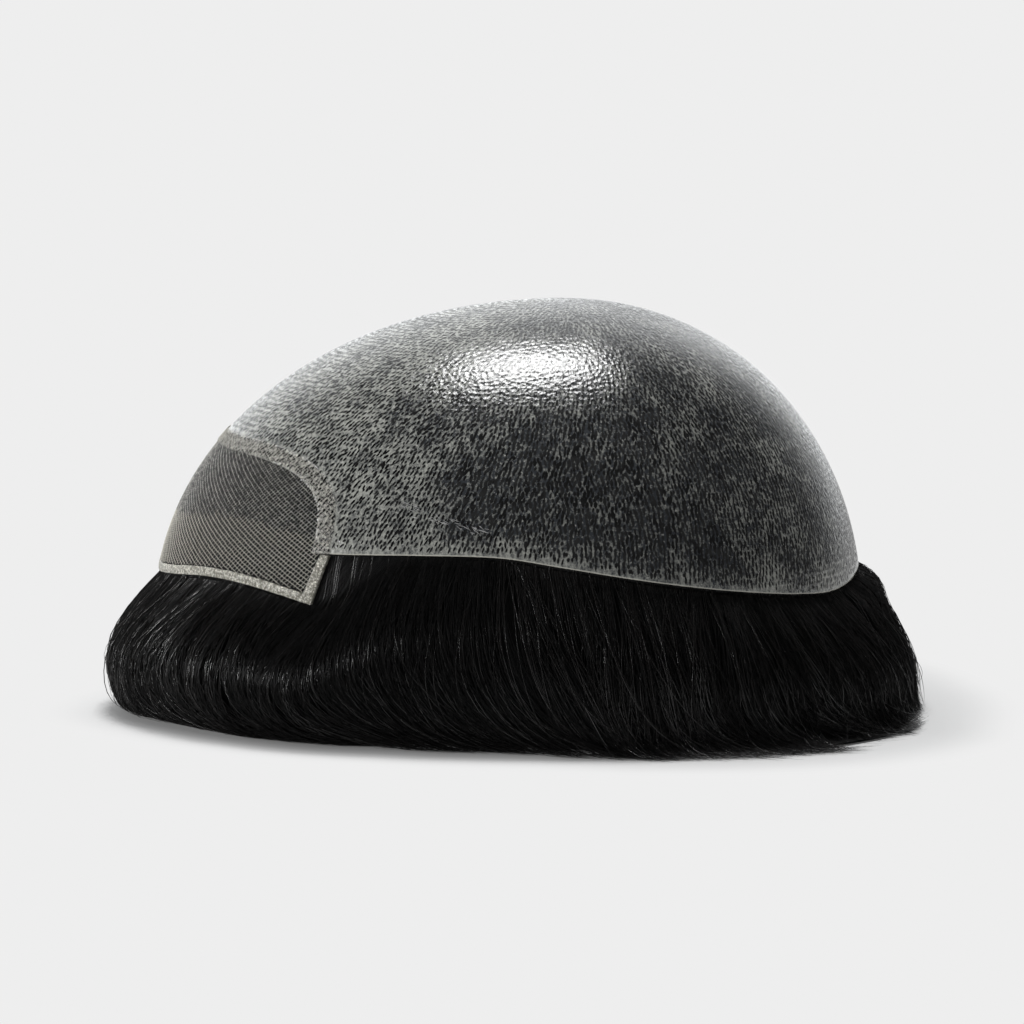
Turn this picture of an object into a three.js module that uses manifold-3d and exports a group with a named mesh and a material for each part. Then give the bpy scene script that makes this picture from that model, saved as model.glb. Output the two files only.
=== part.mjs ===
// Toupee hairpiece lying inside out: a moulded skin base with a lace front, hair side down.
// Millimetres, +Z up, front towards -Y. The origin is under the middle, on the table.

import * as THREE from "three";
import { mergeVertices } from "three/addons/utils/BufferGeometryUtils.js";
import Module from "manifold-3d";

// The head that the base is moulded to, measured at its widest level
const HEAD_FRONT = 104.4; // crown to forehead
const HEAD_BACK = 77.2; // crown to back of head
const HEAD_HALF_WIDTH = 76;
const HEAD_RISE = 81.4; // widest level to crown
const HEAD_SQUARENESS = 2.08; // seen from the side: 2 is an ellipse, and more is squarer

// The base
const CROWN_HEIGHT = 103; // table to crown
const BASE_DEPTH = 70; // crown to the lowest part of the rim
const SKIN_WALL = 1.2;
const LACE_WALL = 1;
const BAND_WALL = 1.5; // the seam and the binding, which stand a little proud
const BAND_PROUD = 0.3;
const FIT_GAP = 0.3; // between neighbouring pieces

// The lace front, seen from the crown as a turn to each side of the middle
const LACE_HALF_TURN = 39.1; // degrees, where the skin rim meets the seam
const CORNER_TURN = 37.3; // degrees, at the lower corner of the binding
const SEAM_RISE = 24.8; // skin rim to the top of the seam
const SEAM_SQUARENESS = 3.1; // 2 is an ellipse, and more is squarer
const SEAM_WIDTH = 4.5;
const BINDING_WIDTH = 2.6;

// The hair
const HAIR_LAYER = 5; // hair lying against the underside of the base
const ROLL_REACH = 12.5; // how far the roll of hair swells past the rim, locks included
const HEEL_INSET = 14; // from under the rim to the inner edge of the hair on the table
const RIM_CLEARANCE = 0.8; // the hair leaves the base this far under its rim
const CORNER_BLEND = 16; // degrees over which the hair rises from lace corner to skin rim
const LOCKS_PER_SIDE = 17;
const FIRST_LOCK = 3; // degrees from the middle of the front
const LAST_LOCK = 176;
const LOCK_WIDTH = 24;
const LOCK_THICKNESS = 5;
const LOCK_OVERLAP = 0.7; // how far neighbouring locks lie over and under each other

// The hair starts below whichever piece of the base is the thickest
const BASE_UNDERSIDE = Math.max(SKIN_WALL, LACE_WALL, BAND_WALL - BAND_PROUD) + FIT_GAP;

// Rims as the share of BASE_DEPTH below the crown
const SKIN_RIM = [
  { turn: 0, share: 0.8133 },
  { turn: 39, share: 0.8133 },
  { turn: 54, share: 0.8071 },
  { turn: 68, share: 0.8112 },
  { turn: 79, share: 0.8424 },
  { turn: 92, share: 0.8849 },
  { turn: 106, share: 0.9274 },
  { turn: 119, share: 0.9616 },
  { turn: 130, share: 0.9855 },
  { turn: 140, share: 0.999 },
  { turn: 150, share: 0.9896 },
  { turn: 161, share: 0.9668 },
  { turn: 180, share: 0.9554 },
];
const FRONT_EDGE = [
  { turn: 0, share: 0.9616 },
  { turn: 7, share: 0.9492 },
  { turn: 16, share: 0.9295 },
  { turn: 22, share: 0.9295 },
  { turn: 27.5, share: 0.943 },
  { turn: 32.5, share: 0.9637 },
  { turn: 37.3, share: 0.9876 },
];

// The roll: how far it reaches past the rim where it swells and at its foot, as shares of
// ROLL_REACH, how far down it is widest as a share of its height, and the degrees that its
// locks lean backwards halfway down and at the tip
const ROLL = [
  { turn: 0, swell: 1.06, widest: 0.63, foot: 0.73, lean: 0, sweep: 0 },
  { turn: 18, swell: 1, widest: 0.6, foot: 0.2, lean: -4, sweep: 3 },
  { turn: 38, swell: 0.94, widest: 0.58, foot: 0.05, lean: -4, sweep: 13 },
  { turn: 58, swell: 0.91, widest: 0.56, foot: 0.18, lean: -1, sweep: 23 },
  { turn: 75, swell: 0.92, widest: 0.57, foot: 0.28, lean: 2, sweep: 21 },
  { turn: 90, swell: 1, widest: 0.62, foot: 0.8, lean: 5, sweep: 15 },
  { turn: 105, swell: 1.12, widest: 0.66, foot: 1.4, lean: 5, sweep: 14 },
  { turn: 120, swell: 1.3, widest: 0.7, foot: 2, lean: 4, sweep: 15 },
  { turn: 137, swell: 1.41, widest: 0.74, foot: 2.18, lean: 3, sweep: 4 },
  { turn: 152, swell: 1.38, widest: 0.78, foot: 1.68, lean: 1, sweep: 0 },
  { turn: 180, swell: 1.28, widest: 0.79, foot: 1.38, lean: 0, sweep: 0 },
];

// Mesh fineness
const SEAM_COLUMNS = 10; // on each side of the middle
const BACK_COLUMNS = 40;
const SKIN_ROWS = 12;
const LACE_ROWS = 6;
const HAIR_COLUMNS = 48;
const LAYER_ROWS = 6;
const ROLL_ROWS = 6;
const WALL_ROWS = 3;
const LOCK_RINGS = 8;
const LOCK_SIDES = 6;

const radians = THREE.MathUtils.degToRad;
const smoothstep = THREE.MathUtils.smoothstep;
const lerp = THREE.MathUtils.lerp;

const wasm = await Module();
wasm.setup();

// A column of a table at any turn, left and right alike, as a smooth curve through its rows.
function readTable(table, column, turn) {
  const at = Math.abs(turn);
  const last = table.length - 1;
  let i = 0;
  while (i < last - 1 && table[i + 1].turn < at) i += 1;
  const slope = (j) => {
    if (j === 0) return 0; // left and right meet smoothly in the middle
    const before = table[Math.max(j - 1, 0)];
    const after = table[Math.min(j + 1, last)];
    return (after[column] - before[column]) / (after.turn - before.turn);
  };
  const [a, b] = [table[i], table[i + 1]];
  const width = b.turn - a.turn;
  const s = Math.min((at - a.turn) / width, 1);
  const hermite = [2 * s ** 3 - 3 * s ** 2 + 1, s ** 3 - 2 * s ** 2 + s, s ** 3 - s ** 2];
  return (
    hermite[0] * a[column] +
    (1 - hermite[0]) * b[column] +
    hermite[1] * width * slope(i) +
    hermite[2] * width * slope(i + 1)
  );
}

const skinRim = (turn) => BASE_DEPTH * readTable(SKIN_RIM, "share", turn);
const frontEdge = (turn) => BASE_DEPTH * readTable(FRONT_EDGE, "share", turn);

// The point of the head at a turn from the front and a drop below the crown, moved out by lift.
function headPoint(turn, drop, lift = 0) {
  const angle = radians(turn);
  const length = Math.cos(angle) > 0 ? HEAD_FRONT : HEAD_BACK;
  const radius = 1 / Math.hypot(Math.cos(angle) / length, Math.sin(angle) / HEAD_HALF_WIDTH);
  const height = Math.abs(1 - drop / HEAD_RISE);
  const share = Math.max(1 - height ** HEAD_SQUARENESS, 0) ** (1 / HEAD_SQUARENESS);
  const x = radius * share * Math.sin(angle);
  const y = -radius * share * Math.cos(angle);
  const flare = share ** (HEAD_SQUARENESS - 2);
  const normal = new THREE.Vector3(
    (flare * x) / HEAD_HALF_WIDTH ** 2,
    (flare * y) / length ** 2,
    height ** (HEAD_SQUARENESS - 1) / HEAD_RISE,
  ).normalize();
  return new THREE.Vector3(x, y, CROWN_HEIGHT - drop).addScaledVector(normal, lift);
}

// A length along the surface, as degrees of turn or as a drop, near a place on the head.
function turnStep(length, turn, drop) {
  return length / headPoint(turn + 0.5, drop).distanceTo(headPoint(turn - 0.5, drop));
}
function dropStep(length, turn, drop) {
  return length / headPoint(turn, drop + 0.5).distanceTo(headPoint(turn, drop - 0.5));
}

// The arch of the seam, inset from its outer edge, at an angle from 0 (one foot) to pi.
function seamAddress(inset, angle) {
  const foot = skinRim(LACE_HALF_TURN);
  const half = LACE_HALF_TURN - turnStep(inset, LACE_HALF_TURN, foot);
  const rise = SEAM_RISE - dropStep(inset, 0, foot - SEAM_RISE);
  const [across, up] = [Math.cos(angle), Math.sin(angle)];
  const square = Math.abs(across) ** SEAM_SQUARENESS + Math.abs(up) ** SEAM_SQUARENESS;
  const reach = square ** (-1 / SEAM_SQUARENESS);
  return { turn: -half * reach * across, drop: foot - rise * reach * up };
}

// The free edge of the lace, inset from its outer edge, at a share of the way to the corner.
function edgeAddress(inset, share) {
  const corner = frontEdge(CORNER_TURN);
  const turn = share * (CORNER_TURN - turnStep(inset, CORNER_TURN, corner));
  return { turn, drop: frontEdge(turn) - dropStep(inset, turn, frontEdge(turn)) };
}

const seamAngles = Array.from(
  { length: 2 * SEAM_COLUMNS + 1 },
  (_, i) => (Math.PI * i) / (2 * SEAM_COLUMNS),
);

// Turns round the head, dense along the seam, each with the drop where the skin ends.
function rimAddresses() {
  const arch = seamAngles.map((angle) => seamAddress(-FIT_GAP, angle));
  const start = arch[arch.length - 1].turn;
  const around = Array.from({ length: BACK_COLUMNS - 1 }, (_, i) => {
    const turn = lerp(start, 360 - start, (i + 1) / BACK_COLUMNS);
    return { turn, drop: skinRim(turn > 180 ? 360 - turn : turn) };
  });
  return [...arch, ...around];
}

function geometryOf(points, triangles) {
  const geometry = new THREE.BufferGeometry();
  geometry.setAttribute(
    "position",
    new THREE.Float32BufferAttribute(
      points.flatMap((p) => p.toArray()),
      3,
    ),
  );
  geometry.setIndex(triangles);
  return geometry;
}

// A closed shell from sections round the head, each running from the outer pole to the inner.
function shellOfSections(sections) {
  const rows = sections[0].length - 2;
  const points = [sections[0][0], sections[0][rows + 1]];
  sections.forEach((section) => points.push(...section.slice(1, -1)));
  const index = (column, row) => 2 + (column % sections.length) * rows + row;
  const triangles = [];
  for (let c = 0; c < sections.length; c += 1) {
    triangles.push(0, index(c, 0), index(c + 1, 0));
    for (let r = 0; r < rows - 1; r += 1) {
      triangles.push(index(c, r), index(c, r + 1), index(c + 1, r + 1));
      triangles.push(index(c, r), index(c + 1, r + 1), index(c + 1, r));
    }
    triangles.push(1, index(c + 1, rows - 1), index(c, rows - 1));
  }
  return geometryOf(points, triangles);
}

// A closed sheet on the head, from rows of addresses listed downwards, as thick as wall.
function sheetOnHead(rows, proud, wall) {
  const [high, wide] = [rows.length, rows[0].length];
  const layer = (lift) => rows.flat().map(({ turn, drop }) => headPoint(turn, drop, lift));
  const points = [...layer(proud), ...layer(proud - wall)];
  const back = high * wide;
  const triangles = [];
  const quad = (a, b, c, d) => triangles.push(a, b, c, a, c, d);
  for (let r = 0; r < high - 1; r += 1) {
    for (let c = 0; c < wide - 1; c += 1) {
      const at = r * wide + c;
      quad(at, at + wide, at + wide + 1, at + 1);
      quad(back + at, back + at + 1, back + at + wide + 1, back + at + wide);
    }
  }
  const border = [];
  for (let c = 0; c < wide - 1; c += 1) border.push(c);
  for (let r = 0; r < high - 1; r += 1) border.push(r * wide + wide - 1);
  for (let c = wide - 1; c > 0; c -= 1) border.push((high - 1) * wide + c);
  for (let r = high - 1; r > 0; r -= 1) border.push(r * wide);
  border.forEach((a, i) => {
    const b = border[(i + 1) % border.length];
    quad(a, b, back + b, back + a);
  });
  return geometryOf(points, triangles);
}

// Drops from the crown to an end, evenly spaced along the curve of the head.
function dropsTo(end, rows) {
  const sweep = Math.acos(1 - end / HEAD_RISE);
  return Array.from({ length: rows }, (_, i) => HEAD_RISE * (1 - Math.cos((sweep * (i + 1)) / rows)));
}

function skinBase() {
  const sections = rimAddresses().map(({ turn, drop }) => {
    const drops = dropsTo(drop, SKIN_ROWS);
    return [
      headPoint(0, 0),
      ...drops.map((d) => headPoint(turn, d)),
      ...drops.reverse().map((d) => headPoint(turn, d, -SKIN_WALL)),
      headPoint(0, 0, -SKIN_WALL),
    ];
  });
  return shellOfSections(sections);
}

// How far each column of the lace stands to the side, as a share of its half width.
const laceShares = seamAngles.map((angle) => seamAddress(0, angle).turn / LACE_HALF_TURN);

function laceFront() {
  const top = seamAngles.map((angle) => seamAddress(SEAM_WIDTH + FIT_GAP, angle));
  const bottom = laceShares.map((share) => edgeAddress(BINDING_WIDTH + FIT_GAP, share));
  const rows = Array.from({ length: LACE_ROWS + 1 }, (_, r) =>
    top.map(({ turn, drop }, c) => ({
      turn: lerp(turn, bottom[c].turn, r / LACE_ROWS),
      drop: lerp(drop, bottom[c].drop, r / LACE_ROWS),
    })),
  );
  return sheetOnHead(rows, 0, LACE_WALL);
}

function laceSeam() {
  const rows = [0, SEAM_WIDTH].map((inset) => seamAngles.map((angle) => seamAddress(inset, angle)));
  return sheetOnHead(rows, BAND_PROUD, BAND_WALL);
}

// The tape round the free edge of the lace: down one side, along the front and up the other.
function frontBinding() {
  const legTop = skinRim(LACE_HALF_TURN) + FIT_GAP;
  const path = (inset) => {
    const turn = LACE_HALF_TURN - turnStep(inset, LACE_HALF_TURN, legTop);
    const edge = laceShares.map((share) => edgeAddress(inset, share));
    return [{ turn: -turn, drop: legTop }, ...edge, { turn, drop: legTop }];
  };
  return sheetOnHead([path(BINDING_WIDTH), path(0)], BAND_PROUD, BAND_WALL);
}

// The drop at which the hair comes out from under the rim.
function hairEdge(turn) {
  const side = Math.abs(turn);
  if (side <= CORNER_TURN) return frontEdge(side) + RIM_CLEARANCE;
  const rise = smoothstep(side, CORNER_TURN, CORNER_TURN + CORNER_BLEND);
  return lerp(frontEdge(CORNER_TURN), skinRim(side), rise) + RIM_CLEARANCE;
}

// The outside of the roll of hair, or a depth under it, a share of the way down to the table.
function rollPoint(turn, down, depth) {
  const start = headPoint(turn, hairEdge(turn), -BASE_UNDERSIDE);
  const widest = readTable(ROLL, "widest", turn);
  const swell = ROLL_REACH * readTable(ROLL, "swell", turn) - depth;
  const foot = ROLL_REACH * readTable(ROLL, "foot", turn) - depth;
  const reach =
    down < widest
      ? swell * Math.sin((Math.PI / 2) * (down / widest))
      : lerp(foot, swell, Math.sqrt(1 - ((down - widest) / (1 - widest)) ** 2));
  const point = new THREE.Vector3(start.x, start.y, start.z * (1 - down));
  return point.addScaledVector(outwardsAt(start), reach);
}

// Rows down the roll, closer together near the table, where the roll turns under.
const rollDowns = Array.from({ length: ROLL_ROWS }, (_, i) =>
  Math.sin((Math.PI / 2) * ((i + 1) / ROLL_ROWS)),
);

// The mass of hair as one hollow wall: the layer under the base, the roll and the foot.
function hairWall() {
  const outside = -BASE_UNDERSIDE;
  const inside = outside - HAIR_LAYER;
  const sections = Array.from({ length: HAIR_COLUMNS }, (_, i) => {
    const turn = lerp(-180, 180, (i + 1) / HAIR_COLUMNS);
    const drops = dropsTo(hairEdge(turn), LAYER_ROWS);
    const brow = headPoint(turn, hairEdge(turn), inside);
    const heel = headPoint(turn, hairEdge(turn), outside).setZ(0);
    heel.addScaledVector(outwardsAt(heel), -HEEL_INSET);
    return [
      headPoint(0, 0, outside),
      ...drops.map((d) => headPoint(turn, d, outside)),
      ...rollDowns.map((down) => rollPoint(turn, down, LOCK_THICKNESS / 2)),
      ...Array.from({ length: WALL_ROWS }, (_, i) => heel.clone().lerp(brow, i / WALL_ROWS)),
      ...drops.reverse().map((d) => headPoint(turn, d, inside)),
      headPoint(0, 0, inside),
    ];
  });
  return shellOfSections(sections);
}

// The outward direction, level with the table, at a point round the head.
function outwardsAt(point) {
  return new THREE.Vector3(point.x, point.y, 0).normalize();
}

// A closed tapered tube from rings of points, with a tip at each end.
function tubeOfRings(start, rings, end) {
  const sides = rings[0].length;
  const points = [start, ...rings.flat(), end];
  const at = (ring, k) => 1 + ring * sides + (k % sides);
  const triangles = [];
  for (let k = 0; k < sides; k += 1) {
    triangles.push(0, at(0, k), at(0, k + 1));
    for (let ring = 0; ring < rings.length - 1; ring += 1) {
      triangles.push(at(ring, k), at(ring + 1, k), at(ring + 1, k + 1));
      triangles.push(at(ring, k), at(ring + 1, k + 1), at(ring, k + 1));
    }
    triangles.push(at(rings.length - 1, k + 1), at(rings.length - 1, k), points.length - 1);
  }
  return geometryOf(points, triangles);
}

// One lock: a flat strip that runs down the roll, leans, tapers and ends on the table.
function lock(side, place) {
  const root = lerp(FIRST_LOCK, LAST_LOCK, place);
  const lean = readTable(ROLL, "lean", root);
  const sweep = readTable(ROLL, "sweep", root);
  const overlap = LOCK_OVERLAP * (Math.round(place * (LOCKS_PER_SIDE - 1)) % 2 ? 1 : -1);
  const centre = (s) => {
    const turn = Math.min(root + 4 * lean * s * (1 - s) + sweep * s ** 2, 180);
    const down = Math.sin((Math.PI / 2) * Math.min(s, 1));
    const sunk = LOCK_THICKNESS * (1 - smoothstep(s, 0, 0.3));
    return rollPoint(side * turn, down, LOCK_THICKNESS / 2 + overlap + sunk);
  };
  const ring = (s) => {
    const middle = centre(s);
    const along = centre(s + 0.02).sub(centre(s - 0.02)).normalize();
    const across = new THREE.Vector3().crossVectors(along, outwardsAt(middle)).normalize();
    const out = new THREE.Vector3().crossVectors(across, along);
    const taper = 0.75 + 0.25 * smoothstep(s, 0, 0.4) - 0.8 * smoothstep(s, 0.5, 1);
    return Array.from({ length: LOCK_SIDES }, (_, k) => {
      const angle = (2 * Math.PI * k) / LOCK_SIDES;
      return middle
        .clone()
        .addScaledVector(across, (taper * LOCK_WIDTH * Math.cos(angle)) / 2)
        .addScaledVector(out, (taper * LOCK_THICKNESS * Math.sin(angle)) / 2);
    });
  };
  const rings = Array.from({ length: LOCK_RINGS }, (_, i) => ring((i + 0.5) / LOCK_RINGS));
  return tubeOfRings(centre(0), rings, centre(1));
}

function toManifold(geometry) {
  const bare = geometry.clone();
  bare.deleteAttribute("normal");
  bare.deleteAttribute("uv");
  const merged = mergeVertices(bare);
  return new wasm.Manifold(
    new wasm.Mesh({
      numProp: 3,
      vertProperties: merged.attributes.position.array,
      triVerts: new Uint32Array(merged.index.array),
    }),
  );
}

function toGeometry(solid) {
  const mesh = solid.getMesh();
  const geometry = new THREE.BufferGeometry();
  geometry.setAttribute("position", new THREE.BufferAttribute(mesh.vertProperties, 3));
  geometry.setIndex(new THREE.BufferAttribute(mesh.triVerts, 1));
  return geometry;
}

// The locks fused to the wall of hair, cut level where they lie on the table.
function hair() {
  let solid = toManifold(hairWall());
  for (const side of [-1, 1]) {
    for (let i = 0; i < LOCKS_PER_SIDE; i += 1) {
      solid = solid.add(toManifold(lock(side, i / (LOCKS_PER_SIDE - 1))));
    }
  }
  const room = 4 * CROWN_HEIGHT;
  const above = new THREE.BoxGeometry(room, room, room).translate(0, 0, room / 2);
  solid = solid.intersect(toManifold(above));
  // Pockets shut in between crossing locks come out as bodies of negative volume.
  const bodies = solid.decompose().filter((body) => body.volume() > 0);
  return toGeometry(bodies.sort((a, b) => b.volume() - a.volume())[0]);
}

function material(color, roughness) {
  return new THREE.MeshStandardMaterial({ color, roughness, metalness: 0 });
}

function piece(name, geometry, finish) {
  geometry.computeVertexNormals();
  const mesh = new THREE.Mesh(geometry, finish);
  mesh.name = name;
  return mesh;
}

const hairpiece = new THREE.Group();
hairpiece.add(
  piece("skin_base", skinBase(), material(0x5b5e5c, 0.3)),
  piece("lace_front", laceFront(), material(0x3a3834, 0.8)),
  piece("lace_seam", laceSeam(), material(0x9a978c, 0.5)),
  piece("front_binding", frontBinding(), material(0xc4c0b2, 0.6)),
  piece("hair", hair(), material(0x0b0b0d, 0.45)),
);

const extent = new THREE.Box3().setFromObject(hairpiece);
const middle = extent.getCenter(new THREE.Vector3());
hairpiece.position.set(-middle.x, -middle.y, -extent.min.z);

export default hairpiece;
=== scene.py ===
"""Looks of the toupee hairpiece: clear skin full of hair roots, a net front edged in tape, and
a roll of straight black hair. Metres, degrees of turn seen from the crown, front towards -Y."""

import bpy
import numpy as np
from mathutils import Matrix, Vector


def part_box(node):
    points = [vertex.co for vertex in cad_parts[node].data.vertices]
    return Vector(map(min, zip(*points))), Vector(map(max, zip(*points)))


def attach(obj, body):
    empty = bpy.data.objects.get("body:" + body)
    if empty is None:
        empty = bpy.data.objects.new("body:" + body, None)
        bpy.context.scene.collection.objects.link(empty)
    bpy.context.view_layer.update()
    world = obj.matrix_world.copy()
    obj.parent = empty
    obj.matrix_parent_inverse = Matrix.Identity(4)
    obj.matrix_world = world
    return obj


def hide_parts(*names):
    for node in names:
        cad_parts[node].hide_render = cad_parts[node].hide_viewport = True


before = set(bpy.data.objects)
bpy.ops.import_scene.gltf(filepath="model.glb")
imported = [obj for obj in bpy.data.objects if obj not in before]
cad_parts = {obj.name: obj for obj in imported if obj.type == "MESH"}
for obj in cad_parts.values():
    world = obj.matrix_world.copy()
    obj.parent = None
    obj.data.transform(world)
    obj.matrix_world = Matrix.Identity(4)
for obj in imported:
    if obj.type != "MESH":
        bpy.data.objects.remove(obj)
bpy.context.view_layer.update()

# The head and the base, as in the part's source
HEAD_FRONT = 0.1044
HEAD_BACK = 0.0772
HEAD_HALF_WIDTH = 0.076
HEAD_RISE = 0.0814
HEAD_SQUARENESS = 2.08
CROWN_HEIGHT = 0.103
BASE_DEPTH = 0.07
SKIN_WALL = 0.0012
BAND_WALL = 0.0015
BAND_PROUD = 0.0003
FIT_GAP = 0.0003
TAPE_SHOWN = 0.0022  # of the binding's width; the net's edge covers the rest
BASE_UNDERSIDE = SKIN_WALL + FIT_GAP
LACE_HALF_TURN = 39.1
CORNER_TURN = 37.3
SEAM_RISE = 0.0248
SEAM_SQUARENESS = 3.1
SEAM_WIDTH = 0.0045

# The hair, as in the part's source
HAIR_LAYER = 0.005
ROLL_REACH = 0.0125
HEEL_INSET = 0.014
RIM_CLEARANCE = 0.0008
CORNER_BLEND = 16
LOCKS_PER_SIDE = 17
FIRST_LOCK = 3
LAST_LOCK = 176
LOCK_WIDTH = 0.024
LOCK_THICKNESS = 0.005
LOCK_OVERLAP = 0.0007

# Rims as shares of BASE_DEPTH below the crown, by turn
SKIN_RIM = [
    (0, 0.8133), (39, 0.8133), (54, 0.8071), (68, 0.8112), (79, 0.8424), (92, 0.8849),
    (106, 0.9274), (119, 0.9616), (130, 0.9855), (140, 0.999), (150, 0.9896), (161, 0.9668),
    (180, 0.9554),
]
FRONT_EDGE = [
    (0, 0.9616), (7, 0.9492), (16, 0.9295), (22, 0.9295), (27.5, 0.943), (32.5, 0.9637),
    (37.3, 0.9876),
]

# The roll by turn: swell, widest, foot, lean and sweep, the first three as in the part's source
ROLL = [
    (0, 1.06, 0.63, 0.73, 0, 0), (18, 1, 0.6, 0.2, -4, 3), (38, 0.94, 0.58, 0.05, -4, 13),
    (58, 0.91, 0.56, 0.18, -1, 23), (75, 0.92, 0.57, 0.28, 2, 21), (90, 1, 0.62, 0.8, 2, 10),
    (105, 1.12, 0.66, 1.4, -1, 8), (120, 1.3, 0.7, 2, -1, 16), (137, 1.41, 0.74, 2.18, 1, 7),
    (152, 1.38, 0.78, 1.68, 0, 2), (180, 1.28, 0.79, 1.38, 0, 0),
]
SHARE = 1
SWELL, WIDEST, FOOT, LEAN, SWEEP = 1, 2, 3, 4, 5

# How far the tips of the hair flick out over the table, by turn
TIPS = [
    (0, 0), (30, 0.0005), (60, 0.006), (90, 0.008), (105, 0.007), (122, 0.0025), (138, 0),
    (180, 0.0005),
]

# How far the strands stand out from the solid roll, and draw in
SHOULDER_OUT = 0.0037  # just under the rim at the back
BACK_DRAWN_IN = 0.0006  # lower down at the back
FRONT_OUT = 0.0013  # down the roll in front

# The skin
SKIN_FILM = 0.0006
# RIM_LINE is also the width of the strip along the cut edge that is painted pale as a highlight.
RIM_LINE = 0.00035
ARCH_COLUMNS = 121  # of the skin's mesh, along the seam
CREASE_GLINTS = 44
ROOT_SPACING = (0.00112, 0.00138)  # across and down
ROOT_SIZE = (0.00074, 0.00185, 0.00004)  # width, length and height
ROOT_LIFT = 0.00003
ROOT_SWING = 24  # degrees that the roots near the front lean forwards

# Patches where the hair lies thick under the skin: turn, drop, radius and strength
PATCHES = [
    (93, 0.051, 0.013, 0.4), (64, 0.046, 0.012, 0.45), (100, 0.033, 0.016, 0.25),
    (135, 0.026, 0.009, 0.35), (131, 0.042, 0.013, 0.2), (46, 0.026, 0.013, 0.5),
    (59, 0.041, 0.011, 0.3), (70, 0.032, 0.011, 0.25), (82, 0.042, 0.013, 0.2),
    (107, 0.056, 0.009, 0.35), (28, 0.033, 0.006, -0.1), (79, 0.059, 0.009, -0.2),
    (43, 0.052, 0.007, 0.15),
]

# The net
NET_PITCHES = (0.00104, 0.00092)
NET_SLANTS = (31, -50)  # degrees of the two sets of threads
NET_THREADS = (0.000078, 0.00006)  # radii of the two sets
NET_SHADES = (0, 0.5)  # how dark the two sets look
HAIRLINE = 0.0145  # up from the edge of the lace to the faint line where its hair starts
BEADS = 120  # of resin, along the inner edge of the seam

# Strands
STRANDS_PER_LOCK = 215
STRAND_STEPS = 12
STRAND_RADIUS = (0.0001, 0.00016)
CLUMPS_PER_LOCK = 9
CLUMP_DEPTH = 0.0014
LAYER_DEPTH = 0.0022  # of the strands in a lock, one over another
OFF_TABLE = 0.0004  # least height of the hair over the table
ROLL_RADIUS = 0.088  # rough, from the middle of the head to the roll
LOOSE_HAIRS = 1450
LOOSE_STEPS = 18
LOOSE_RADIUS = (0.00005, 0.0001)
CORNER_SHARE = 0.4  # of the loose hairs
SWING = 2.5  # how late along a hair its sweep comes: 1 is evenly, and more is later
LEAD = 0.12  # of a hair's length, from under the rim to where the roll begins

# Camera
CAMERA_AZIMUTH = 80
CAMERA_ELEVATION = 7
CAMERA_DISTANCE = 0.95
CAMERA_TARGET = Vector((0, -0.00081, 0.04845))
CAMERA_LENS = 130.46

# Light, as radiance
BACKDROP = 0.855
STUDIO_DIM = 0.1  # all round
STUDIO_LEFT = 1.7  # behind the part, to the left
STUDIO_RIGHT = 0.85  # behind it, to the right
TOP_LIGHT = 23
LEFT_LIGHT = 18
FLOOR_ALBEDO = 0.6
FLOOR_LIT = 0.79  # what the lights add to the table where nothing shades it
SHADOW_REACH = (0.004, 0.024)  # how far out from the hair the table takes its shadow

rng = np.random.default_rng(7)


def smoothstep(x, low, high):
    """0 below low and 1 above high, with a smooth rise between."""
    s = np.clip((x - low) / (high - low), 0, 1)
    return s * s * (3 - 2 * s)


def lerp(a, b, s):
    return a + (b - a) * s


def unit(vectors):
    return vectors / np.linalg.norm(vectors, axis=-1, keepdims=True)


def read_table(table, column, turn):
    """A column of a table at any turn, left and right alike, as a smooth curve through its rows."""
    turns = np.array([row[0] for row in table], float)
    values = np.array([row[column] for row in table], float)
    slopes = np.zeros(len(turns))
    slopes[1:-1] = (values[2:] - values[:-2]) / (turns[2:] - turns[:-2])
    slopes[-1] = (values[-1] - values[-2]) / (turns[-1] - turns[-2])
    at = np.abs(turn)
    i = np.clip(np.searchsorted(turns, at) - 1, 0, len(turns) - 2)
    width = turns[i + 1] - turns[i]
    s = np.minimum((at - turns[i]) / width, 1)
    first = 2 * s**3 - 3 * s**2 + 1
    rise = (s**3 - 2 * s**2 + s) * slopes[i] + (s**3 - s**2) * slopes[i + 1]
    return first * values[i] + (1 - first) * values[i + 1] + width * rise


def skin_rim(turn):
    return BASE_DEPTH * read_table(SKIN_RIM, SHARE, turn)


def front_edge(turn):
    return BASE_DEPTH * read_table(FRONT_EDGE, SHARE, turn)


def head_normal(turn, drop):
    return head_point(turn, drop, 1.0) - head_point(turn, drop)


def head_point(turn, drop, lift=0.0):
    """The point of the head at a turn from the front and a drop below the crown, lifted off it."""
    turn, drop, lift = np.broadcast_arrays(np.asarray(turn, float), drop, lift)
    angle = np.radians(turn)
    length = np.where(np.cos(angle) > 0, HEAD_FRONT, HEAD_BACK)
    radius = 1 / np.hypot(np.cos(angle) / length, np.sin(angle) / HEAD_HALF_WIDTH)
    height = np.abs(1 - drop / HEAD_RISE)
    share = np.maximum(1 - height**HEAD_SQUARENESS, 0) ** (1 / HEAD_SQUARENESS)
    x = radius * share * np.sin(angle)
    y = -radius * share * np.cos(angle)
    flare = share ** (HEAD_SQUARENESS - 2)
    rise = height ** (HEAD_SQUARENESS - 1) / HEAD_RISE
    slopes = (flare * x / HEAD_HALF_WIDTH**2, flare * y / length**2, rise)
    normal = unit(np.stack(slopes, -1))
    return np.stack((x, y, CROWN_HEIGHT - drop), -1) + normal * lift[..., None]


def turn_step(length, turn, drop):
    """A length across the surface as degrees of turn, near a place on the head."""
    across = head_point(turn + 0.5, drop) - head_point(turn - 0.5, drop)
    return length / np.linalg.norm(across, axis=-1)


def drop_step(length, turn, drop):
    """A length down the surface as a drop, near a place on the head."""
    half = 0.0005
    down = head_point(turn, drop + half) - head_point(turn, drop - half)
    return length * 2 * half / np.linalg.norm(down, axis=-1)


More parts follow.
